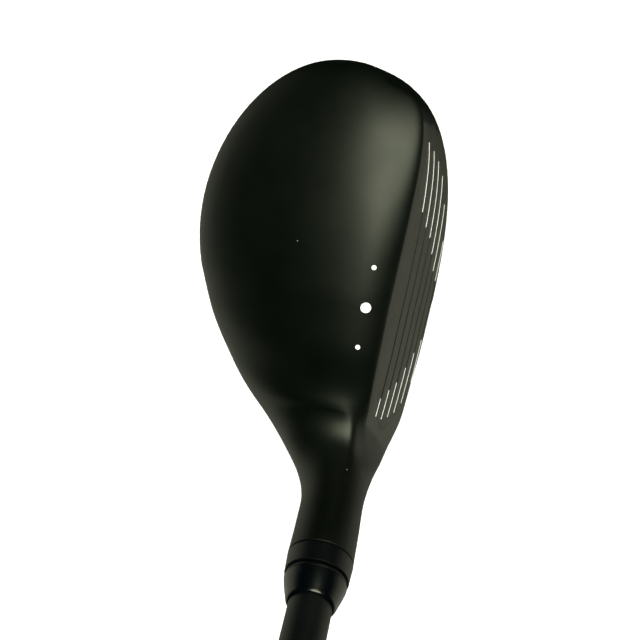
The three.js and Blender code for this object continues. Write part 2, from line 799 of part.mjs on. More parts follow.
const shaftGroup = new THREE.Group();
shaftGroup.rotation.y = radians(sleeveCant);
shaftGroup.add(
  piece('ferrule', ferruleGeometry(), blackPlastic),
  piece('shaft', shaftGeometry(), shaftPaint),
  piece(
    'tip_plug',
    rod(shaftTipRadius - shaftWall - clearance, shaftBottom, shaftBottom + plugLength, 16),
    blackPlastic,
  ),
  piece('grip_tape', overShaft(gripBottom + clearance, gripTop, clearance, tapeThickness), tapePaper),
  piece('grip', gripGeometry(), gripRubber),
  piece('grip_cap', capGeometry(), gripRubber),
);

hoselGroup.add(
  piece('hosel_screw', hoselScrew(), brightSteel),
  piece(
    'hosel_screw_washer',
    tube(screwRadius + clearance, screwHeadRadius, washerTop - washerThickness, washerTop),
    brightSteel,
  ),
  piece(
    'screw_retainer',
    tube(screwRadius + clearance, retainerRadius, retainerBottom, retainerBottom + retainerThickness),
    blackPlastic,
  ),
  piece('index_ring', indexRing(), blackAluminium),
  piece('hosel_sleeve', hoselSleeve(), blackAluminium),
  shaftGroup,
);

club.add(weightGroup, hoselGroup);

export default club;
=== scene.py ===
# Left-handed hybrid golf club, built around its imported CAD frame.
# Lengths in the dictionaries are millimetres; mm turns them into metres.

import math

import bpy
import numpy as np
from mathutils import Matrix, Vector


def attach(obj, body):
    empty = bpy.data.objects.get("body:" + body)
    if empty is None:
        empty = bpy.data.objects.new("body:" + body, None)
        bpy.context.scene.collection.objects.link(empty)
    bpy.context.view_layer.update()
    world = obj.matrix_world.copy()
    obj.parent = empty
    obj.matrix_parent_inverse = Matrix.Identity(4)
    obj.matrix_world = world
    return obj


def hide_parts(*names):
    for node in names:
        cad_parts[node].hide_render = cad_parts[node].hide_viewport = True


mm = 0.001

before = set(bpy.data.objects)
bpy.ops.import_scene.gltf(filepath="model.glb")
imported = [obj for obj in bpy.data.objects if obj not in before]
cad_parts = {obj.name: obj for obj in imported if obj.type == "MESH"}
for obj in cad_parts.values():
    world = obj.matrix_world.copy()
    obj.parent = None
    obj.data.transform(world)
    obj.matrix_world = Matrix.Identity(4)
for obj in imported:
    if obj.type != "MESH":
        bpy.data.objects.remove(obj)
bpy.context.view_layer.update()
bpy.ops.object.select_all(action="DESELECT")
print("frame loaded")


# ---------- camera, floor and light ----------

cameraLook = {
    "place": (18.5, 8.0, 228.2),
    "turnDegrees": (-6.178, 5.694, -78.785),
    "lens": 45.68,
}

studio = {
    "floorSize": 6.0,
    "floorColor": (0.93, 0.93, 0.93, 1),
    # the surroundings: bright on both sides of the club, dark overhead and past the toe
    "sideColor": (0.54, 0.555, 0.43, 1),
    "darkColor": (0.002, 0.004, 0.0045, 1),
    "sideFrom": 0.15, "sideTo": 1.0,  # how far a direction points sideways
    "sideLean": -0.45,  # more of it towards the heel
    "lowFrom": 0.22, "lowTo": -0.3,  # height of a direction
    "backdrop": (0.9, 0.9, 0.9, 1),
    # name: (place, size, watts, seen in reflections, color)
    "lamps": {
        "toeLight": ((0.66, -0.22, 1.25), 1.05, 16.8, True, (1, 1.06, 0.76)),
        "fillLight": ((-0.5, 0.3, 4.5), 4.5, 385, False, (1, 1, 1)),
    },
    "lampAim": (0.0, 0.02, 0.03),
}


def addCamera():
    data = bpy.data.cameras.new("camera")
    data.lens = cameraLook["lens"]
    data.clip_start = 0.005
    camera = bpy.data.objects.new("camera", data)
    bpy.context.scene.collection.objects.link(camera)
    camera.location = Vector(cameraLook["place"]) * mm
    camera.rotation_euler = [math.radians(a) for a in cameraLook["turnDegrees"]]
    bpy.context.scene.camera = camera


def addFloor():
    bpy.ops.mesh.primitive_plane_add(size=studio["floorSize"], location=(0, 0, -0.0002))
    floor = bpy.context.object
    floor.name = "floor"
    material = bpy.data.materials.new("paleFloor")
    material.use_nodes = True
    shader = material.node_tree.nodes["Principled BSDF"]
    shader.inputs["Base Color"].default_value = studio["floorColor"]
    shader.inputs["Roughness"].default_value = 0.9
    shader.inputs["Specular IOR Level"].default_value = 0.1
    floor.data.materials.append(material)
    floor.visible_glossy = False
    floor.select_set(False)


def addLamps():
    for name, (place, size, watts, seen, color) in studio["lamps"].items():
        data = bpy.data.lights.new(name, "AREA")
        data.shape = "DISK"
        data.size = size
        data.energy = watts
        data.color = color
        lamp = bpy.data.objects.new(name, data)
        bpy.context.scene.collection.objects.link(lamp)
        lamp.location = place
        aim = Vector(studio["lampAim"]) - Vector(place)
        lamp.rotation_euler = aim.to_track_quat("-Z", "Y").to_euler()
        lamp.visible_glossy = seen


# Light comes from both sides of the club. The camera itself sees a plain pale backdrop.
def addWorld():
    world = bpy.data.worlds.new("studio")
    world.use_nodes = True
    nodes = world.node_tree.nodes
    links = world.node_tree.links
    place = nodes.new("ShaderNodeTexCoord")
    split = nodes.new("ShaderNodeSeparateXYZ")
    links.new(place.outputs["Generated"], split.inputs[0])
    sideways = nodes.new("ShaderNodeMath")
    sideways.operation = "ABSOLUTE"
    links.new(split.outputs["Y"], sideways.inputs[0])
    leaning = nodes.new("ShaderNodeMath")
    leaning.operation = "MULTIPLY_ADD"
    leaning.inputs[1].default_value = studio["sideLean"]
    links.new(split.outputs["X"], leaning.inputs[0])
    links.new(sideways.outputs[0], leaning.inputs[2])
    shares = []
    for value, start, stop in (
        (leaning.outputs[0], "sideFrom", "sideTo"), (split.outputs["Z"], "lowFrom", "lowTo")
    ):
        share = nodes.new("ShaderNodeMapRange")
        share.interpolation_type = "SMOOTHSTEP"
        share.inputs["From Min"].default_value = studio[start]
        share.inputs["From Max"].default_value = studio[stop]
        links.new(value, share.inputs["Value"])
        shares.append(share.outputs[0])
    both = nodes.new("ShaderNodeMath")
    both.operation = "MULTIPLY"
    for i, share in enumerate(shares):
        links.new(share, both.inputs[i])
    color = nodes.new("ShaderNodeMix")
    color.data_type = "RGBA"
    color.inputs["A"].default_value = studio["darkColor"]
    color.inputs["B"].default_value = studio["sideColor"]
    links.new(both.outputs[0], color.inputs["Factor"])
    seen = nodes.new("ShaderNodeMix")
    seen.data_type = "RGBA"
    seen.inputs["B"].default_value = studio["backdrop"]
    path = nodes.new("ShaderNodeLightPath")
    links.new(path.outputs["Is Camera Ray"], seen.inputs["Factor"])
    links.new(color.outputs["Result"], seen.inputs["A"])
    links.new(seen.outputs["Result"], nodes["Background"].inputs["Color"])
    bpy.context.scene.world = world


addCamera()
addFloor()
addLamps()
addWorld()
bpy.context.scene.view_settings.view_transform = "Standard"
print("camera, floor and light placed")


# ---------- material helpers ----------


def newGroup(name, sockets, outputs):
    tree = bpy.data.node_groups.new(name, "ShaderNodeTree")
    for socket, value in sockets.items():
        kind = "NodeSocketVector" if value is None else "NodeSocketFloat"
        made = tree.interface.new_socket(socket, in_out="INPUT", socket_type=kind)
        if value is not None:
            made.default_value = value
    for socket in outputs:
        tree.interface.new_socket(socket, in_out="OUTPUT", socket_type="NodeSocketFloat")
    return tree, tree.nodes.new("NodeGroupInput"), tree.nodes.new("NodeGroupOutput")


# Fine orange peel of a sprayed or moulded surface, with a slow drift under it.
def peelGroup():
    tree, source, out = newGroup("peel", {"Place": None, "Scale": 900.0}, ("Height", "Drift"))
    links = tree.links
    fine = tree.nodes.new("ShaderNodeTexNoise")
    fine.inputs["Detail"].default_value = 3
    fine.inputs["Roughness"].default_value = 0.55
    slow = tree.nodes.new("ShaderNodeTexNoise")
    slow.inputs["Detail"].default_value = 2
    slowScale = tree.nodes.new("ShaderNodeMath")
    slowScale.operation = "MULTIPLY"
    slowScale.inputs[1].default_value = 0.04
    links.new(source.outputs["Place"], fine.inputs["Vector"])
    links.new(source.outputs["Place"], slow.inputs["Vector"])
    links.new(source.outputs["Scale"], fine.inputs["Scale"])
    links.new(source.outputs["Scale"], slowScale.inputs[0])
    links.new(slowScale.outputs[0], slow.inputs["Scale"])
    links.new(fine.outputs["Fac"], out.inputs["Height"])
    links.new(slow.outputs["Fac"], out.inputs["Drift"])
    return tree


# Sparse pale specks of dust and tiny scuffs: 1 on a speck, 0 elsewhere.
def speckGroup():
    tree, source, out = newGroup(
        "specks", {"Place": None, "Scale": 260.0, "Share": 0.05}, ("Speck",)
    )
    nodes, links = tree.nodes, tree.links
    cells = nodes.new("ShaderNodeTexVoronoi")
    cells.inputs["Randomness"].default_value = 1
    chosen = nodes.new("ShaderNodeSeparateColor")
    isChosen = nodes.new("ShaderNodeMath")
    isChosen.operation = "LESS_THAN"
    isNear = nodes.new("ShaderNodeMapRange")
    isNear.inputs["From Min"].default_value = 0.05
    isNear.inputs["From Max"].default_value = 0.02
    both = nodes.new("ShaderNodeMath")
    both.operation = "MULTIPLY"
    links.new(source.outputs["Place"], cells.inputs["Vector"])
    links.new(source.outputs["Scale"], cells.inputs["Scale"])
    links.new(cells.outputs["Color"], chosen.inputs[0])
    links.new(chosen.outputs[0], isChosen.inputs[0])
    links.new(source.outputs["Share"], isChosen.inputs[1])
    links.new(cells.outputs["Distance"], isNear.inputs["Value"])
    links.new(isChosen.outputs[0], both.inputs[0])
    links.new(isNear.outputs[0], both.inputs[1])
    links.new(both.outputs[0], out.inputs["Speck"])
    return tree


peel = peelGroup()
specks = speckGroup()

colorSpread = 0.14  # how much the base colour drifts
driftRange = (0.3, 0.7)  # of the slow noise

finishes = {
    # base, speck colour, roughness low and high, metallic, peel scale and depth, speck share
    "blackPaint": {
        "base": (0.0004, 0.0012, 0.0006), "speck": (0.16, 0.16, 0.15), "rough": (0.38, 0.43),
        "metal": 0.0, "peel": 2600, "depth": 0.012, "specks": 0.05, "coat": 0.0,
    },
    "faceSteel": {
        "base": (0.021, 0.0205, 0.016), "speck": (0.2, 0.2, 0.19), "rough": (0.42, 0.5),
        "metal": 0.15, "peel": 3400, "depth": 0.05, "specks": 0.04, "coat": 0.0,
    },
    "whitePaint": {
        "base": (0.78, 0.78, 0.75), "speck": (0.3, 0.3, 0.28), "rough": (0.45, 0.6),
        "metal": 0.0, "peel": 3000, "depth": 0.03, "specks": 0.02, "coat": 0.0,
    },
    "bareSteel": {
        "base": (0.42, 0.42, 0.41), "speck": (0.2, 0.2, 0.2), "rough": (0.26, 0.42),
        "metal": 1.0, "peel": 1500, "depth": 0.02, "specks": 0.03, "coat": 0.0,
    },
    "tungsten": {
        "base": (0.2, 0.2, 0.205), "speck": (0.3, 0.3, 0.3), "rough": (0.3, 0.45),
        "metal": 1.0, "peel": 1900, "depth": 0.03, "specks": 0.04, "coat": 0.0,
    },
    "blackAnodised": {
        "base": (0.0003, 0.0009, 0.0013), "speck": (0.1, 0.1, 0.1), "rough": (0.32, 0.4),
        "metal": 0.0, "peel": 3600, "depth": 0.01, "specks": 0.03, "coat": 0.0,
    },
    "ferrulePlastic": {
        "base": (0.0003, 0.0009, 0.0013), "speck": (0.08, 0.08, 0.08), "rough": (0.16, 0.22),
        "metal": 0.0, "peel": 1400, "depth": 0.006, "specks": 0.02, "coat": 0.25,
    },
    "innerPlastic": {
        "base": (0.012, 0.012, 0.013), "speck": (0.08, 0.08, 0.08), "rough": (0.4, 0.5),
        "metal": 0.0, "peel": 1800, "depth": 0.02, "specks": 0.02, "coat": 0.0,
    },
    "shaftPaint": {
        "base": (0.0006, 0.0013, 0.0018), "speck": (0.09, 0.09, 0.09), "rough": (0.4, 0.47),
        "metal": 0.0, "peel": 2200, "depth": 0.012, "specks": 0.03, "coat": 0.0,
    },
    "gripRubber": {
        "base": (0.014, 0.014, 0.014), "speck": (0.06, 0.06, 0.058), "rough": (0.72, 0.86),
        "metal": 0.0, "peel": 1700, "depth": 0.12, "specks": 0.06, "coat": 0.0,
    },
    "tapePaper": {
        "base": (0.55, 0.51, 0.43), "speck": (0.3, 0.26, 0.2), "rough": (0.85, 0.95),
        "metal": 0.0, "peel": 900, "depth": 0.2, "specks": 0.08, "coat": 0.0,
    },
}


def makeFinish(name, look):
    material = bpy.data.materials.new(name)
    material.use_nodes = True
    nodes, links = material.node_tree.nodes, material.node_tree.links
    shader = nodes["Principled BSDF"]
    shader.inputs["Metallic"].default_value = look["metal"]
    shader.inputs["Coat Weight"].default_value = look["coat"]
    shader.inputs["Coat Roughness"].default_value = 0.12
    place = nodes.new("ShaderNodeTexCoord")
    grain = nodes.new("ShaderNodeGroup")
    grain.node_tree = peel
    grain.inputs["Scale"].default_value = look["peel"]
    dust = nodes.new("ShaderNodeGroup")
    dust.node_tree = specks
    dust.inputs["Share"].default_value = look["specks"]
    links.new(place.outputs["Object"], grain.inputs["Place"])
    links.new(place.outputs["Object"], dust.inputs["Place"])

    shade = nodes.new("ShaderNodeMix")
    shade.data_type = "RGBA"
    shade.inputs["A"].default_value = (*[(1 - colorSpread) * c for c in look["base"]], 1)
    shade.inputs["B"].default_value = (*[(1 + colorSpread) * c for c in look["base"]], 1)
    links.new(grain.outputs["Drift"], shade.inputs["Factor"])
    speckled = nodes.new("ShaderNodeMix")
    speckled.data_type = "RGBA"
    speckled.inputs["B"].default_value = (*look["speck"], 1)
    links.new(dust.outputs["Speck"], speckled.inputs["Factor"])
    links.new(shade.outputs["Result"], speckled.inputs["A"])
    links.new(speckled.outputs["Result"], shader.inputs["Base Color"])

    rough = nodes.new("ShaderNodeMapRange")
    rough.inputs["From Min"].default_value = driftRange[0]
    rough.inputs["From Max"].default_value = driftRange[1]
    rough.inputs["To Min"].default_value = look["rough"][0]
    rough.inputs["To Max"].default_value = look["rough"][1]
    links.new(grain.outputs["Drift"], rough.inputs["Value"])
    links.new(rough.outputs[0], shader.inputs["Roughness"])

    bump = nodes.new("ShaderNodeBump")
    bump.inputs["Strength"].default_value = 1.0
    bump.inputs["Distance"].default_value = look["depth"] * mm
    links.new(grain.outputs["Height"], bump.inputs["Height"])
    links.new(bump.outputs["Normal"], shader.inputs["Normal"])
    return material


materials = {name: makeFinish(name, look) for name, look in finishes.items()}
print("materials made")


# ---------- shape helpers ----------

softEdge = math.radians(38)


def deselect():
    bpy.ops.object.select_all(action="DESELECT")


def makeActive(piece):
    deselect()
    piece.select_set(True)
    bpy.context.view_layer.objects.active = piece


def editStart(piece):
    makeActive(piece)
    bpy.ops.object.mode_set(mode="EDIT")


def editEnd():
    bpy.ops.object.mode_set(mode="OBJECT")


# Moves a piece modelled in millimetres about its own axis to its place on the club.
def setInPlace(piece, place):
    piece.data.transform(place @ Matrix.Scale(mm, 4))
    piece.data.update()


def finishMesh(piece):
    editStart(piece)
    bpy.ops.mesh.select_all(action="SELECT")
    bpy.ops.mesh.normals_make_consistent(inside=False)
    editEnd()
    makeActive(piece)
    bpy.ops.object.shade_smooth_by_angle(angle=softEdge)
    deselect()


def dress(piece, body, slot, finish, *nodes):
    if len(piece.data.materials) == 0:
        piece.data.materials.append(materials[finish])
    finishMesh(piece)
    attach(piece, body)
    if nodes:
        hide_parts(*nodes)


def cutWith(piece, cutter, operation="DIFFERENCE"):
    makeActive(piece)
    step = piece.modifiers.new("cut", "BOOLEAN")
    step.operation = operation
    step.solver = "EXACT"
    step.object = cutter
    bpy.ops.object.modifier_apply(modifier=step.name)


def remove(piece):
    bpy.data.meshes.remove(piece.data)


def copyOf(piece, name):
    twin = piece.copy()
    twin.data = piece.data.copy()
    twin.name = name
    bpy.context.scene.collection.objects.link(twin)
    return twin


# A turned piece: a circle pulled up ring by ring along [radius, height], closed on itself
# when it is a tube, or with a cap on each end.
def ringStack(name, profile, sides=96, tube=False):
    first, base = profile[0]
    bpy.ops.mesh.primitive_circle_add(vertices=sides, radius=first, location=(0, 0, 0))
    piece = bpy.context.object
    piece.name = name
    editStart(piece)
    bpy.ops.mesh.select_all(action="SELECT")
    bpy.ops.transform.translate(value=(0, 0, base))
    reach, level = first, base
    for radius, height in profile[1:]:
        bpy.ops.mesh.extrude_edges_move(
            TRANSFORM_OT_translate={"value": (0, 0, height - level)}
        )
        if radius != reach:
            share = radius / reach
            bpy.ops.transform.resize(value=(share, share, 1), center_override=(0, 0, height))
        reach, level = radius, height
    bpy.ops.mesh.select_all(action="SELECT")
    bpy.ops.mesh.region_to_loop()
    if tube:
        bpy.ops.mesh.bridge_edge_loops()
    else:
        bpy.ops.mesh.edge_face_add()
        bpy.ops.mesh.select_all(action="SELECT")
        bpy.ops.mesh.fill_holes(sides=0)
    editEnd()
    return piece


# A skin over rings of points, closed on itself when it is a tube, or with a face on each end.
def loftMesh(name, rings, tube=False):
    size = len(rings[0])
    last = (len(rings) - 1) * size
    faces = []
    for start in range(0, last + size if tube else last, size):
        following = 0 if start == last else start + size
        for k in range(size):
            step = (k + 1) % size
            faces.append((start + k, start + step, following + step, following + k))
    if not tube:
        faces.append(tuple(range(size))[::-1])
        faces.append(tuple(range(last, last + size)))
    mesh = bpy.data.meshes.new(name)
    mesh.from_pydata(np.concatenate(rings).tolist(), [], faces)
    piece = bpy.data.objects.new(name, mesh)
    bpy.context.scene.collection.objects.link(piece)
    return piece


# ---------- head surface ----------

head = {
    "toeReach": 58, "toeTipY": 30, "toeFullness": 2.81,
    "rearReach": 61, "rearX": 16, "rearFullness": 1.92, "rearSweep": 0.01043,
    "leadingEdgeY": -4.3, "midHeight": 17.5, "crownRise": 2.8, "crownRidgeY": 16,
    "toplineHeight": 34, "leadingEdgeHeight": 5.5, "skirtHeight": 15,
    "soleCrest": -0.6, "soleCrestY": 2.2,
    "loft": math.radians(20.7), "bulge": 446, "roll": 223,
    "hoselRadius": 7.45, "hoselY": 10.7, "rim": (-55.7, 10.7, 56.1),
    "hoselLie": math.radians(58.2), "shaftLie": math.radians(59),
    "rimEdge": 0.12, "toplineReach": 53.2, "toplineTurn": 0.018,
}

hoselAxis = np.array([-math.cos(head["hoselLie"]), 0, math.sin(head["hoselLie"])])


def toeShare(x, power):
    return (1 - min(max(x, 0) / head["toeReach"], 1) ** power) ** (1 / power)


# The face: loft, bulge from heel to toe, and roll from top to bottom.
def faceY(x, z):
    slope = math.tan(head["loft"])
    rise = z - head["midHeight"]
    roll = rise**2 / (2 * head["roll"]) * (1 + slope**2) ** 1.5
    return slope * rise + roll + x**2 / (2 * head["bulge"])


def toplineZ(x):
    if x > 0:
        mid = head["midHeight"]
        return mid + (head["toplineHeight"] - mid) * toeShare(x, 2.6)
    return head["toplineHeight"] - 0.0027 * x**2


def leadZ(x):
    if x > 0:
        return head["leadingEdgeHeight"] + 11.5 * (x / head["toeReach"]) ** 2
    return head["leadingEdgeHeight"] + 0.0032 * x**2


def rearY(x):
    if x <= head["rearX"]:
        return head["rearReach"] - head["rearSweep"] * (head["rearX"] - x) ** 2
    share = (x - head["rearX"]) / (head["toeReach"] - head["rearX"])
    full = head["rearFullness"]
    return head["toeTipY"] + (head["rearReach"] - head["toeTipY"]) * (1 - share**full) ** (1 / full)


# A station is one cross-section of the head. Its plane holds the Y axis, stands at (x, z) and
# leans by turn degrees; each named point is [y, height over the station's middle].
# full holds the handles of the crown, rear and sole, front those of the crown's front, and bend
# is the curvature of the face.
def station(
    x, z, turn, lead, top, peak, rear, sole,
    crownTan=35, full=(0.42, 0.35, 0.4, 0.62), front=(0.55, 0.5), bend=1 / 223,
):
    rows = [x, z, turn, crownTan, *lead, *top, *peak, *rear, *sole, *full, *front, bend]
    return np.array(rows, float)


# The topline seen from above: nearly straight, then turning into the toe.
def toplineY(x, leadY, peakY):
    tip = head["toeTipY"]
    turn = (1 - min(x / head["toplineReach"], 1) ** 6) ** (1 / 6)
    straight = faceY(0, head["toplineHeight"]) - head["toplineTurn"] * x
    return min(tip - (tip - straight) * turn, peakY - 0.3 * (peakY - leadY))


def toeStation(x):
    mid, tip = head["midHeight"], head["toeTipY"]
    sweep = toeShare(x, head["toeFullness"])
    lead, top = leadZ(x), toplineZ(x)
    leadY = tip - (tip - head["leadingEdgeY"]) * sweep
    peakY = tip - (tip - head["crownRidgeY"]) * sweep
    topY = toplineY(x, leadY, peakY)
    soleZ = mid - (mid - head["soleCrest"]) * toeShare(x, 2.6)
    rise = head["crownRise"] * (1 - (x / head["toeReach"]) ** 2)
    return station(
        x, mid, 0,
        (leadY, min(lead, top) - mid),
        (topY, top - mid),
        (peakY, top + rise - mid),
        (rearY(x), (head["skirtHeight"] - mid) * toeShare(x, 2)),
        (tip - (tip - head["soleCrestY"]) * sweep, soleZ - mid),
    )


def onFace(x, z, turn, height):
    lean = math.radians(turn)
    return faceY(x + math.sin(lean) * height, z + math.cos(lean) * height), height


def heelStation(x, peakY, soleY, soleZ, turn=0):
    mid = head["midHeight"]
    return station(
        x, mid, turn,
        onFace(x, mid, turn, leadZ(x) - mid),
        onFace(x, mid, turn, toplineZ(x) - mid),
        (peakY, toplineZ(x) + head["crownRise"] - 0.0022 * x**2 - mid),
        (rearY(x), head["skirtHeight"] - mid + 0.003 * x**2),
        (soleY, soleZ - mid),
    )


# front, back, up and down are the reach on each side of the hosel's axis, over its radius.
# corner places the topline's end as a share of them, and bend is the front's curvature.
def neckStation(
    depth, turn, front, back, up, down,
    flat=0.7, corner=(0.66, 0.75), crownTan=41, handles=(0.96, 0.365), bend=1 / 7.45,
):
    place = np.array(head["rim"]) - depth * hoselAxis
    radius, y = head["hoselRadius"], head["hoselY"]
    return station(
        place[0], place[2], turn,
        (y - radius - front, -flat),
        (y - corner[0] * (radius + front), corner[1] * (radius + up)),
        (y, radius + up), (y + radius + back, 0), (y, -radius - down),
        crownTan, (0.55,) * 4, handles, bend,
    )


lie = math.degrees(head["hoselLie"])
ridge, crest, crestY = head["crownRidgeY"], head["soleCrest"], head["soleCrestY"]
heelStations = [
    heelStation(0, ridge, crestY, crest),
    heelStation(-12, ridge - 0.5, crestY + 0.6, crest + 0.25),
    heelStation(-22, ridge - 1, crestY + 1.4, crest + 1, 3),
    station(
        -29.5, 18.5, 14, onFace(-29.5, 18.5, 14, -11.5), onFace(-29.5, 18.5, 14, 13.7),
        (14.2, 16.5), (rearY(-29.5), 0), (7, -16.9), 38, (0.45, 0.4, 0.45, 0.6),
    ),
    station(
        -35.5, 21, 30, onFace(-35.5, 21, 30, -10.4), onFace(-35.5, 21, 30, 11.9),
        (12.3, 15.6), (32.3, 0), (9.5, -13), 47, (0.5, 0.5, 0.5, 0.58), (0.7, 0.45),
    ),
    neckStation(31, 49, 1.45, 7.4, 1.9, 1.85, 3, (0.506, 0.5), 55, (0.6, 0.5), 1 / 35),
    neckStation(24, lie, 0.25, 2.85, 0.3, 0.25, 1.6, (0.64, 0.66), 48, (0.8, 0.43), 1 / 12),
    neckStation(17, lie, -0.3, 0.4, -0.1, -0.05),
    neckStation(9, lie, -0.1, 0, -0.15, -0.15),
    neckStation(0, lie, 0, 0, 0, 0),
]


# Catmull-Rom between stations, number by number.
def refined(stations, steps):
    result = []
    last = len(stations) - 1
    for i in range(last):
        a, b = stations[max(i - 1, 0)], stations[i]
        c, d = stations[i + 1], stations[min(i + 2, last)]
        for k in range(steps):
            t = k / steps
            pull = (2 * a - 5 * b + 4 * c - d) * t**2 + (3 * b - a - 3 * c + d) * t**3
            result.append(0.5 * (2 * b + (c - a) * t + pull))
    result.append(stations[-1])
    return result


# The five curves of a section: face, crown's front, crown, skirt, sole's front.
def sectionCurves(s):
    A, B, C, D, E = (s[i : i + 2] for i in (4, 6, 8, 10, 12))
    crown, rearTop, rearBottom, soleRear, frontRise, frontReach, bend = s[14:]
    chord = B - A
    length = np.linalg.norm(chord)
    sagitta = length**2 * bend / 8
    middle = (A + B) / 2 + np.array([-chord[1], chord[0]]) / length * 2 * sagitta
    lean = math.radians(s[3])
    rise = np.array([math.cos(lean), math.sin(lean)])
    down = np.array([0, -1.0])
    return [
        (A, middle, B),
        (B, B + rise * frontRise * (C[1] - B[1]),
         np.array([C[0] - frontReach * (C[0] - B[0]), C[1]]), C),
        (C, np.array([C[0] + crown * (D[0] - C[0]), C[1]]),
         np.array([D[0], D[1] + rearTop * (C[1] - D[1])]), D),
        (D, np.array([D[0], D[1] - rearBottom * (D[1] - E[1])]),
         np.array([E[0] + soleRear * (D[0] - E[0]), E[1]]), E),
        (E, np.array([E[0] - 0.55 * (E[0] - A[0]), E[1]]), A + down * 0.55 * (A[1] - E[1]), A),
    ]


def alongCurve(curve, shares):
    t = shares[:, None]
    u = 1 - t
    if len(curve) == 3:
        return u**2 * curve[0] + 2 * u * t * curve[1] + t**2 * curve[2]
    return u**3 * curve[0] + 3 * u**2 * t * curve[1] + 3 * u * t**2 * curve[2] + t**3 * curve[3]


headMesh = {
    "samples": 90,  # along each curve, before the corners are rounded
    "counts": (22, 14, 26, 22, 16),
    "toplineSoft": 1.15,
    "leadSoft": 0.95,
    "levels": 720,  # even steps around a section while its corners are rounded
    "softShare": 0.02,  # of the way around, at most
    "softReach": 2.4,  # of the rounding's own width
    "heelSteps": 12,
    "toeAngles": (89.6, 89, 88.2, 87, 85.5, 83.5, 81, 78, 75, 72, 69, 66, 63, 60, 57, 54, 51,
                  48, 45, 42, 39, 36, 33, 30, 27, 24, 21, 18, 15, 12, 9, 6, 3),
}


# Points along each curve, packed towards the topline and the leading edge.
def ringShares():
    face, front, crown, skirt, soleFront = (np.arange(n) / n for n in headMesh["counts"])
    return [
        0.5 * face + 0.25 * (1 - np.cos(math.pi * face)), front**1.5, crown, skirt,
        1 - (1 - soleFront) ** 1.5,
    ]


def sectionRing(s):
    n = headMesh["samples"]
    curves = sectionCurves(s)
    fine = np.concatenate([alongCurve(c, np.arange(n) / n) for c in curves])
    steps = np.linalg.norm(np.roll(fine, -1, 0) - fine, axis=1)
    marks = np.concatenate([[0], np.cumsum(steps)])
    around = marks[-1]
    level = np.linspace(0, around, headMesh["levels"], endpoint=False)
    closed = np.vstack([fine, fine[:1]])
    even = np.stack([np.interp(level, marks, closed[:, i]) for i in (0, 1)], 1)
    rounded = even.copy()
    for corner, soft in ((marks[n], headMesh["toplineSoft"]), (0.0, headMesh["leadSoft"])):
        soft = min(soft, headMesh["softShare"] * around)
        gap = np.abs(level - corner)
        gap = np.minimum(gap, around - gap)
        wave = np.fft.rfftfreq(len(level), around / len(level))
        blur = np.exp(-2 * (math.pi * soft * wave) ** 2)
        smooth = np.stack(
            [np.fft.irfft(np.fft.rfft(even[:, i]) * blur, len(level)) for i in (0, 1)], 1
        )
        near = np.exp(-((gap / (headMesh["softReach"] * soft)) ** 4))[:, None]
        rounded += near * (smooth - even)
    places = np.concatenate([
        np.interp((part + shares) * n, np.arange(len(marks)), marks)
        for part, shares in enumerate(ringShares())
    ])
    level = np.append(level, around)
    rounded = np.vstack([rounded, rounded[:1]])
    y, height = (np.interp(places, level, rounded[:, i]) for i in (0, 1))
    lean = math.radians(s[2])
    return np.stack(
        [s[0] + math.sin(lean) * height, y, s[1] + math.cos(lean) * height], 1
    ) * mm


def headBlank(name):
    toeStations = [
        toeStation(head["toeReach"] * math.sin(math.radians(a))) for a in headMesh["toeAngles"]
    ]
    heel = refined(heelStations, headMesh["heelSteps"])
    rimEdge = neckStation(head["rimEdge"], lie, 0, 0, 0, 0)
    rimTop = neckStation(0, lie, *(-head["rimEdge"],) * 4)
    stations = [*toeStations, *heel[:-1], rimEdge, rimTop]
    return loftMesh(name, [sectionRing(s) for s in stations])


# The hosel's and the shaft's frames have +Z up their axis, from the hosel's rim.
hoselPlace = Matrix.Translation(Vector(head["rim"]) * mm) @ Matrix.Rotation(
    head["hoselLie"] - math.pi / 2, 4, "Y"
)
shaftPlace = Matrix.Translation(Vector(head["rim"]) * mm) @ Matrix.Rotation(
    head["shaftLie"] - math.pi / 2, 4, "Y"
)

# ---------- face plate ----------

facePlate = {
    "heelX": -33, "toeX": 46.5, "lip": 2.6, "seam": 0.05, "thickness": 2.6,
    "grooveCount": 6, "pitch": 4.15, "topGroove": 27.2, "width": 0.78, "depth": 0.42,
    "heels": (-27.9, -29.2, -29.2, -28.6, -26.5, -21),
    "toes": (40.9, 39.5, 37.6, 34.6, 27.8, 18.4),
    # where the white paint stops and starts again along each groove
    "toePaint": (24.2, 20.9, 18.4, 14.5, 10.1, 7.5),
    "heelPaint": (-23.2, -21.4, -19.8, -16.1, -12.3, -9),
    "paintSink": 0.01, "paintGap": 0.02, "paintShort": 0.1, "paintTop": 0.85, "paintFloor": 0.45,
    "grooveFlare": 0.5, "grooveFloor": 0.5, "barStep": 1.2, "barRise": 1.5,
    "paintedShadeFrom": 0.08,  # painted shade: below this depth a groove's walls and floor take black paint, standing in for the shade inside the bare steel grooves
    "toeAngle": 51,  # of the last ring with the face's material
    # outline: how soon and how fully its ends are rounded, and the lip's share at the bottom
    "endTurn": 0.12, "endPower": 9, "bottomLip": 0.3,
}


# The plate's outline from the front, set in from the face's edge by lip.
def faceOutline(lip):
    left = facePlate["heelX"] + lip - facePlate["lip"]
    right = facePlate["toeX"] - lip + facePlate["lip"]
    turns = np.linspace(facePlate["endTurn"], math.pi - facePlate["endTurn"], 40)
    xs = (left + right) / 2 - (right - left) / 2 * np.cos(turns)
    ends = 1 - np.abs(np.cos(turns)) ** facePlate["endPower"]
    bottom = facePlate["bottomLip"] * lip
    middle = [(toplineZ(x) + leadZ(x)) / 2 for x in xs]
    low = [m + (leadZ(x) + bottom - m) * e for x, m, e in zip(xs, middle, ends)]
    high = [m + (toplineZ(x) - lip - m) * e for x, m, e in zip(xs, middle, ends)]
    return [*zip(xs, low), *zip(xs[::-1], high[::-1])]


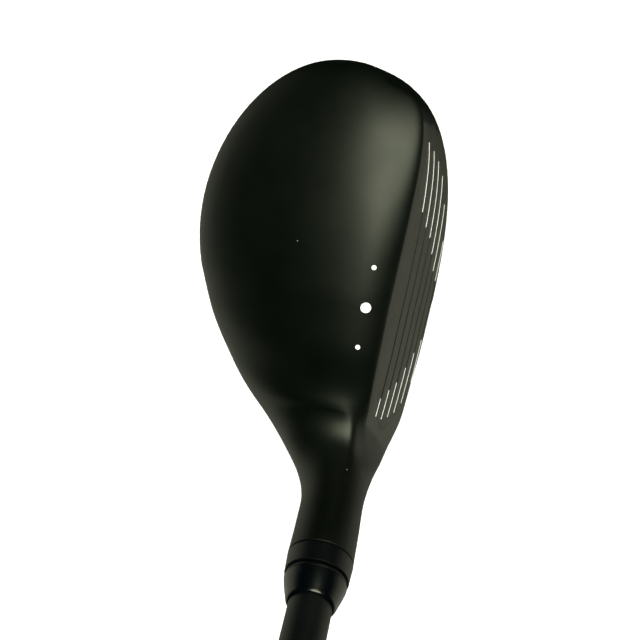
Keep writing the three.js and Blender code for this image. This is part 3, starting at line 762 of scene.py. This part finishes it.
def faceColumn(lip, deeper, blank):
    outline = faceOutline(lip)
    rings = [[(x * mm, y * mm, z * mm) for x, z in outline] for y in (-25, 40)]
    column = loftMesh("column", [np.array(ring) for ring in rings])
    finishMesh(column)
    behind = copyOf(blank, "behind")
    behind.data.transform(Matrix.Translation((0, deeper * mm, 0)))
    cutWith(column, behind)
    remove(behind)
    return column


# The face's real surface, with the toe's rounding added to the loft, bulge and roll.
def faceSkinY(x, z):
    if x <= 0:
        return faceY(x, z)
    face = sectionCurves(toeStation(x))[0]
    points = alongCurve(face, np.linspace(0, 1, 40))
    return np.interp(z - head["midHeight"], points[:, 1], points[:, 0])


# A bar along the face at one height, between two depths under its skin.
def faceBar(name, z, fromX, toX, out, deep, wide, floorWide):
    rings = []
    count = max(4, int(abs(toX - fromX) / facePlate["barStep"]))
    for x in np.linspace(fromX, toX, count):
        y = faceSkinY(x, z)
        corners = ((-out, -wide / 2), (deep, -floorWide / 2), (deep, floorWide / 2), (-out, wide / 2))
        rings.append(np.array([(x, y + dy, z + dz) for dy, dz in corners]) * mm)
    return loftMesh(name, rings)


def joined(name, pieces):
    deselect()
    for piece in pieces:
        piece.select_set(True)
    bpy.context.view_layer.objects.active = pieces[0]
    if len(pieces) > 1:
        bpy.ops.object.join()
    pieces[0].name = name
    deselect()
    return pieces[0]


def grooveHeights():
    pitch = facePlate["pitch"] * math.cos(head["loft"])
    return [facePlate["topGroove"] - i * pitch for i in range(facePlate["grooveCount"])]


def onlyFinish(piece, finish):
    piece.data.materials.clear()
    piece.data.materials.append(materials[finish])
    for polygon in piece.data.polygons:
        polygon.material_index = 0


blank = headBlank("headSkin")
finishMesh(blank)
deeper = facePlate["thickness"]
plate = copyOf(blank, "facePlate")
plateColumn = faceColumn(facePlate["lip"] + facePlate["seam"], deeper - 0.1, blank)
recess = faceColumn(facePlate["lip"], deeper, blank)
cutWith(plate, plateColumn, "INTERSECT")
remove(plateColumn)
wide, deep = facePlate["width"], facePlate["depth"]
barShape = (
    facePlate["barRise"], deep, wide + facePlate["grooveFlare"], facePlate["grooveFloor"] * wide,
)
paintShape = (
    -facePlate["paintSink"], deep - facePlate["paintGap"],
    facePlate["paintTop"] * wide, facePlate["paintFloor"] * wide,
)
short = facePlate["paintShort"]
bars, paints = [], []
for z, heelEnd, toeEnd, heelStart, toeStop in zip(
    grooveHeights(), *(facePlate[key] for key in ("heels", "toes", "heelPaint", "toePaint"))
):
    bars.append(faceBar("bar", z, heelEnd, toeEnd, *barShape))
    for ends in ((heelEnd + short, heelStart), (toeStop, toeEnd - short)):
        paints.append(faceBar("paint", z, *ends, *paintShape))
grooves = joined("grooves", bars)
finishMesh(grooves)
cutWith(plate, grooves)
remove(grooves)
onlyFinish(plate, "faceSteel")
# Painted shade: the plate's faces lying deeper than the set depth under the face's skin, the grooves'
# walls and floors, take black paint in place of the shade that darkens the bare steel grooves.
plate.data.materials.append(materials["blackPaint"])
for polygon in plate.data.polygons:
    x, y, z = polygon.center / mm
    if y - faceSkinY(x, z) > facePlate["paintedShadeFrom"]:
        polygon.material_index = 1
dress(plate, "head", "face_steel", "faceSteel", "face_insert")
groovePaint = joined("groovePaint", paints)
dress(groovePaint, "head", "face_steel", "whitePaint")
print("face plate made")


# ---------- head skin ----------

bores = {
    # radius, from and to, along the hosel's axis
    "socket": (6.1, -49, 2),
    "screwHole": (2.5, -53, -48),
    "port": (5.0, -90, -52),
}
weightSeat = {
    "place": (8, 44.792, 4.895), "lean": math.acos(-0.9549),
    "pocket": (7.3, -3.7, 5), "hole": (5.8, -9.5, 0),
}
# The ring's tabs and the notches in the hosel's rim that they key into.
ringTabs = {
    "count": 4, "width": 2.6, "reach": 6.93, "inner": 5.6, "depth": 1.5, "rise": 1,
    "tabWidth": 2, "tabInner": 6.2, "tabReach": 6.8, "tabDepth": 1.2, "tabRise": 0.6,
}

weightPlace = Matrix.Translation(Vector(weightSeat["place"]) * mm) @ Matrix.Rotation(
    -weightSeat["lean"], 4, "X"
)


def rod(radius, bottom, top, place):
    piece = ringStack("rod", [(radius, bottom), (radius, top)])
    setInPlace(piece, place)
    finishMesh(piece)
    return piece


# The face's material covers the first curve of each section, between the toe's rounding and
# the neck.
def markFace(skin):
    size = sum(headMesh["counts"])
    faceCount = headMesh["counts"][0]
    skin.data.materials.append(materials["blackPaint"])
    skin.data.materials.append(materials["faceSteel"])
    lastRing = len(headMesh["toeAngles"]) + 4 * headMesh["heelSteps"]
    firstRing = sum(angle > facePlate["toeAngle"] for angle in headMesh["toeAngles"])
    for polygon in skin.data.polygons[firstRing * size : lastRing * size]:
        if polygon.index % size < faceCount:
            polygon.material_index = 1


skin = blank
markFace(skin)
cutWith(skin, recess)
remove(recess)
for radius, bottom, top in bores.values():
    cutter = rod(radius, bottom, top, hoselPlace)
    cutWith(skin, cutter)
    remove(cutter)
for seat in ("pocket", "hole"):
    cutter = rod(*weightSeat[seat], weightPlace)
    cutWith(skin, cutter)
    remove(cutter)


def ringTab(index, width, inner, outer, depth, lift):
    bpy.ops.mesh.primitive_cube_add(size=1, location=((inner + outer) / 2, 0, (lift - depth) / 2))
    tab = bpy.context.object
    editStart(tab)
    bpy.ops.mesh.select_all(action="SELECT")
    bpy.ops.transform.resize(
        value=(outer - inner, width, depth + lift), center_override=tab.location
    )
    editEnd()
    turn = Matrix.Rotation(index * math.tau / ringTabs["count"], 4, "Z")
    tab.data.transform(turn @ tab.matrix_world)
    tab.matrix_world = Matrix()
    return tab


def ringTabsWith(*keys):
    return [ringTab(i, *(ringTabs[key] for key in keys)) for i in range(ringTabs["count"])]


notches = joined("notches", ringTabsWith("width", "inner", "reach", "depth", "rise"))
setInPlace(notches, hoselPlace)
cutWith(skin, notches)
remove(notches)
dress(skin, "head", "painted_steel", "blackPaint", "head_body", "crown")
print("head skin made")

# ---------- alignment dots ----------

dots = {
    "y": 12.6, "z": 45, "middleX": -0.6, "spacing": 9.7, "bigRadius": 1.24, "smallRadius": 0.58,
    "thickness": 0.05,
}


def addDot(x, radius):
    bpy.ops.mesh.primitive_circle_add(
        vertices=48, radius=radius * mm, fill_type="NGON", location=(0, 0, 0)
    )
    dot = bpy.context.object
    editStart(dot)
    bpy.ops.mesh.select_all(action="SELECT")
    for share in (0.25, 0.25, 0.25):
        bpy.ops.mesh.inset(thickness=share * radius * mm)
    editEnd()
    dot.data.transform(Matrix.Translation(Vector((x, dots["y"], dots["z"])) * mm))
    wrap = dot.modifiers.new("wrap", "SHRINKWRAP")
    wrap.wrap_method = "PROJECT"
    wrap.use_project_z = True
    wrap.use_negative_direction = True
    wrap.use_positive_direction = False
    wrap.target = skin
    wrap.offset = 0.01 * mm
    thick = dot.modifiers.new("thick", "SOLIDIFY")
    thick.thickness = dots["thickness"] * mm
    thick.offset = 1
    for step in ("wrap", "thick"):
        makeActive(dot)
        bpy.ops.object.modifier_apply(modifier=step)
    return dot


middle, apart = dots["middleX"], dots["spacing"]
alignmentDots = joined("alignmentDots", [
    addDot(middle - apart, dots["smallRadius"]),
    addDot(middle, dots["bigRadius"]),
    addDot(middle + apart, dots["smallRadius"]),
])
dress(alignmentDots, "head", "painted_steel", "whitePaint")
print("alignment dots made")

# ---------- hosel pieces ----------

hosel = {
    "ring": [
        (6.1, 0.3), (7.33, 0.3), (7.45, 0.42), (7.3, 2.5), (7.19, 4.68), (7.05, 4.8), (6.1, 4.8),
    ],
    "sleeve": [
        (5.8, 5.1), (6.62, 5.1), (6.75, 5.22), (6.75, 5.68), (6.62, 5.8), (5.05, 5.8),
        (5.05, -21), (2.5, -21), (2.5, -33), (5.6, -33), (5.8, -32.8),
    ],
    "ferrule": [
        (5.05, 6.1), (6.84, 6.1), (6.95, 6.22), (6.62, 7.6), (6.2, 9), (5.82, 10.2), (5.62, 10.8),
        (5.5, 11.2), (5.38, 11.46), (5.2, 11.64), (5.05, 11.7),
    ],
}


def addIndexRing():
    ring = ringStack("indexRing", hosel["ring"], tube=True)
    tabs = ringTabsWith("tabWidth", "tabInner", "tabReach", "tabDepth", "tabRise")
    ring = joined("indexRing", [ring, *tabs])
    setInPlace(ring, hoselPlace)
    dress(ring, "index_ring", "black_aluminium", "blackAnodised", "index_ring")


def addSleeve():
    sleeve = ringStack("hoselSleeve", hosel["sleeve"], tube=True)
    setInPlace(sleeve, hoselPlace)
    dress(sleeve, "shaft_assembly", "black_aluminium", "blackAnodised", "hosel_sleeve")


def addFerrule():
    ferrule = ringStack("ferruleBody", hosel["ferrule"], tube=True)
    setInPlace(ferrule, shaftPlace)
    dress(ferrule, "shaft_assembly", "black_plastic", "ferrulePlastic", "ferrule")


addIndexRing()
addSleeve()
addFerrule()
print("hosel pieces made")

# ---------- shaft and grip ----------

clubLength = 1010
capThickness = 5.3

shaft = {
    "tipRadius": 4.75, "buttRadius": 7.6, "wall": 1.4, "bottom": -20.7, "parallel": 80,
    "top": clubLength - head["rim"][2] / math.sin(head["shaftLie"]) - capThickness,
}


def shaftRadiusAt(height):
    share = (height - shaft["parallel"]) / (shaft["top"] - shaft["parallel"])
    return shaft["tipRadius"] + (shaft["buttRadius"] - shaft["tipRadius"]) * min(max(share, 0), 1)


def addShaft():
    bottom, top, parallel = shaft["bottom"], shaft["top"], shaft["parallel"]
    outer = [bottom, parallel, *np.linspace(parallel + 40, top, 16)]
    inner = [top, parallel, bottom]
    profile = [(shaftRadiusAt(h), h) for h in outer]
    profile += [(shaftRadiusAt(h) - shaft["wall"], h) for h in inner]
    piece = ringStack("shaftTube", profile, tube=True)
    setInPlace(piece, shaftPlace)
    dress(piece, "shaft_assembly", "shaft_composite", "shaftPaint", "shaft")


grip = {
    "length": 267, "mouth": 9.9, "butt": 13.4, "bore": 1.05, "sides": 144, "step": 0.75,
    "lip": 1.5, "diamondCount": 18, "diamondPitch": 4.6, "diamondDepth": 0.35,
    # plain bands: distance, place of the first, half width, and the groove on each side of one
    "bandPitch": 66, "bandStart": 20, "bandHalf": 5.5, "bandDepth": 0.3,
    "grooveAt": 4.2, "grooveWidth": 0.7,
    "fade": 1.2, "endPlain": 7, "endFade": 1.5,
}


# How far the pattern is sunk at an angle and a height up the grip: crossed lines that make
# diamonds, broken by plain bands with a groove on each side.
def gripPattern(angles, height):
    diagonal = angles * grip["diamondCount"] / 2
    climb = height / grip["diamondPitch"] * math.pi
    lines = np.maximum(np.cos(diagonal + climb) ** 16, np.cos(diagonal - climb) ** 16)
    fromBand = abs((height + grip["bandStart"]) % grip["bandPitch"] - grip["bandPitch"] / 2)
    ends = min(height, grip["length"] - height)
    beyondBand = np.clip((fromBand - grip["bandHalf"]) / grip["fade"], 0, 1)
    beyondEnds = np.clip((ends - grip["endPlain"]) / grip["endFade"], 0, 1)
    fromGroove = (fromBand - grip["grooveAt"]) / grip["grooveWidth"]
    groove = grip["bandDepth"] * math.exp(-(fromGroove**2))
    return grip["diamondDepth"] * lines * beyondBand * beyondEnds + groove


def addGrip():
    top = shaft["top"]
    bottom = top - grip["length"]
    angles = np.linspace(0, math.tau, grip["sides"], endpoint=False)
    rings = []

    def addRing(radii, height):
        flat = np.stack([radii * np.cos(angles), radii * np.sin(angles)], 1)
        rings.append(np.column_stack([flat, np.full(len(angles), height)]))

    plain = np.ones(len(angles))
    heights = np.arange(0, grip["length"], grip["step"])
    middle = grip["mouth"] + 0.42 * (grip["butt"] - grip["mouth"])
    for h in [*heights, grip["length"]]:
        radius = np.interp(
            h, [0, 0.5, grip["lip"], 0.5 * grip["length"], grip["length"]],
            [grip["mouth"] - 0.6, grip["mouth"] - 0.2, grip["mouth"], middle, grip["butt"]],
        )
        addRing(radius * plain - gripPattern(angles, h), bottom + h)
    for h in (grip["length"], 0):
        addRing((shaftRadiusAt(bottom + h) + grip["bore"]) * plain, bottom + h)
    piece = loftMesh("gripSleeve", rings, tube=True)
    setInPlace(piece, shaftPlace)
    dress(piece, "shaft_assembly", "grip_rubber", "gripRubber", "grip")


gripCap = {
    "profile": [
        (1.1, 0), (13.4, 0), (13.9, 0.6), (14.4, 2), (14.35, 3.2), (14, 3.8), (13.4, 4.2),
        (11.6, 4.55), (11.2, 4.35), (10.6, 4.35), (10.2, 4.8), (9, 5), (4.2, 5), (3.8, 4.75),
        (3.4, 4.75), (3, 5), (1.4, 5), (1.1, 4.7),
    ],
}


def addGripCap():
    bottom = shaft["top"] + 0.3
    profile = [(radius, bottom + height) for radius, height in gripCap["profile"]]
    piece = ringStack("gripEndCap", profile, tube=True)
    setInPlace(piece, shaftPlace)
    dress(piece, "shaft_assembly", "grip_rubber", "gripRubber", "grip_cap")


addShaft()
addGrip()
addGripCap()
print("shaft and grip made")

# ---------- rear weight ----------

weight = {
    "profile": [
        (4.9, -8), (5.5, -7.4), (5.5, -2.5), (7, -2.5), (7, -0.6), (6.7, -0.3), (5.2, -0.3),
        (4.9, -0.55), (4.5, -0.55), (4.2, -0.3),
    ],
    "socketRadius": 2.1, "socketDepth": 2.7, "lobes": 6,
}


def addWeight():
    piece = ringStack("soleWeight", weight["profile"])
    angles = np.linspace(0, math.tau, 72, endpoint=False)
    reach = weight["socketRadius"] * (0.86 + 0.14 * np.cos(weight["lobes"] * angles))
    rings = [
        np.column_stack([reach * np.cos(angles), reach * np.sin(angles), np.full(72, z)])
        for z in (-weight["socketDepth"], 1)
    ]
    socket = loftMesh("socket", rings)
    finishMesh(socket)
    finishMesh(piece)
    cutWith(piece, socket)
    remove(socket)
    setInPlace(piece, weightPlace)
    dress(piece, "rear_weight", "weight_metal", "tungsten", "rear_weight")


addWeight()
print("rear weight made")

# ---------- pieces that keep their CAD shape ----------

keptNodes = {
    "weight_washer": "innerPlastic", "hosel_screw": "bareSteel", "hosel_screw_washer": "bareSteel",
    "screw_retainer": "innerPlastic", "tip_plug": "innerPlastic", "grip_tape": "tapePaper",
}
for node, finish in keptNodes.items():
    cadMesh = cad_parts[node].data
    cadMesh.materials.clear()
    cadMesh.materials.append(materials[finish])
print("CAD pieces dressed")
